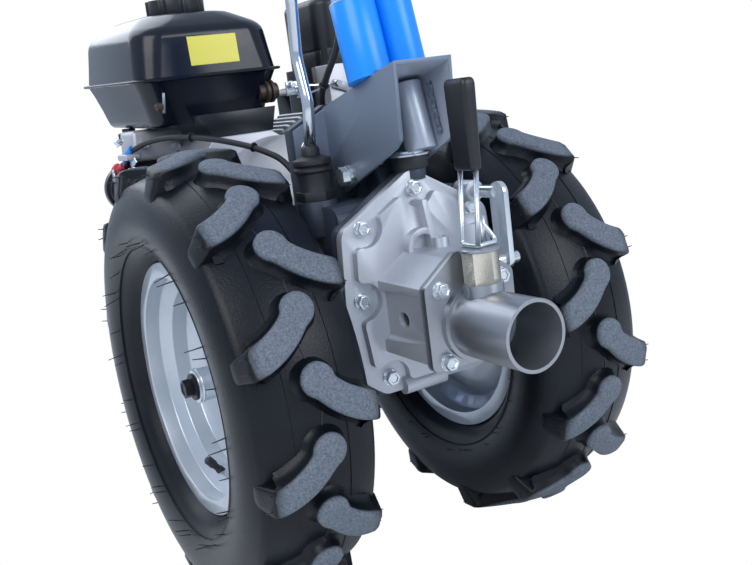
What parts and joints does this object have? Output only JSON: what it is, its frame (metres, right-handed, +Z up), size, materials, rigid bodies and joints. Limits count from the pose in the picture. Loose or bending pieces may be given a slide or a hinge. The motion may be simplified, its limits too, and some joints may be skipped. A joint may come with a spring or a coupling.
{
  "type": "power tiller",
  "caption": "Two-wheel walking tractor with lugged tyres, a cast gearbox, a rear implement socket, an engine in front, a parking stand and adjustable steering bars",
  "frame": {"origin": "on the ground under the middle of the machine", "axes": "+X forward (towards the engine), +Y left, +Z up"},
  "size_m": [1.3853, 0.562, 0.9815],
  "materials": {
    "tyre": "moulded black rubber, greyer on the lug tops",
    "rim_silver": "silver wheel enamel",
    "hub_steel": "turned and galvanised steel",
    "cast_aluminium": "bare die casting",
    "housing_dark": "dark enamel on a casting",
    "socket_steel": "turned steel, slightly brown inside",
    "zinc": "zinc plated steel",
    "brass_nut": "yellow passivated steel",
    "grip_black": "moulded black plastic",
    "chrome_rod": "chromed rod",
    "rubber_black": "moulded rubber",
    "bracket_grey": "grey-blue enamel on plate",
    "blue_paint": "bright blue gloss enamel",
    "engine_silver": "bare casting",
    "tank_black": "deep gloss black enamel",
    "engine_black": "satin black heat paint"
  },
  "bodies": {
    "chassis": {"air_cleaner": "grip_black", "axle_housing_left": "hub_steel", "axle_housing_right": "hub_steel", "bell_housing": "engine_silver", "bracket_bolt": "zinc", "bracket_buffer": "rubber_black", "carburettor": "engine_silver", "control_cable": "rubber_black", "crankcase": "engine_silver", "cylinder": "engine_silver", "cylinder_cowl": "engine_black", "cylinder_head": "engine_silver", "drive_dog": "socket_steel", "fan_cover": "engine_black", "front_guard": "blue_paint", "fuel_cap": "grip_black", "fuel_tank": "tank_black", "gear_boot": "rubber_black", "gear_knob": "grip_black", "gear_lever": "chrome_rod", "gearbox_housing": "housing_dark", "handlebar_bracket": "bracket_grey", "handlebar_column": "blue_paint", "implement_socket": "socket_steel", "latch_grip": "grip_black", "latch_nut": "brass_nut", "latch_wire": "zinc", "rear_cover": "cast_aluminium", "recoil_starter": "engine_black", "selector_lever": "zinc", "silencer": "engine_black", "starter_cable": "rubber_black", "starter_motor": "engine_black", "tank_seat": "engine_black"},
    "wheel_left": {"tyre_left": "tyre", "rim_left": "rim_silver", "hub_left": "hub_steel", "axle_shaft_left": "hub_steel"},
    "wheel_right": {"tyre_right": "tyre", "rim_right": "rim_silver", "hub_right": "hub_steel", "axle_shaft_right": "hub_steel"},
    "handlebar": {"handlebar_left": "blue_paint", "handlebar_right": "blue_paint", "handlebar_cross_tube": "blue_paint", "height_bolt": "zinc", "grip_left": "rubber_black", "grip_right": "rubber_black", "clutch_lever": "zinc", "throttle_lever": "zinc"},
    "stand": {"parking_stand": "blue_paint"}
  },
  "joints": [
    {"name": "wheel_left_spin", "type": "hinge", "parent": "chassis", "child": "wheel_left", "pos_m": [0.13666, 0.17, 0.2525], "axis": [0, 1, 0], "continuous": true},
    {"name": "wheel_right_spin", "type": "hinge", "parent": "chassis", "child": "wheel_right", "pos_m": [0.13666, -0.17, 0.2525], "axis": [0, 1, 0], "continuous": true},
    {"name": "handlebar_height", "type": "hinge", "parent": "chassis", "child": "handlebar", "pos_m": [0.03253, 0, 0.7405], "axis": [0, 1, 0], "range_deg": [-12, 25]},
    {"name": "stand_fold", "type": "hinge", "parent": "chassis", "child": "stand", "pos_m": [0.54066, 0, 0.2765], "axis": [0, -1, 0], "range_deg": [0, 85]}
  ]
}
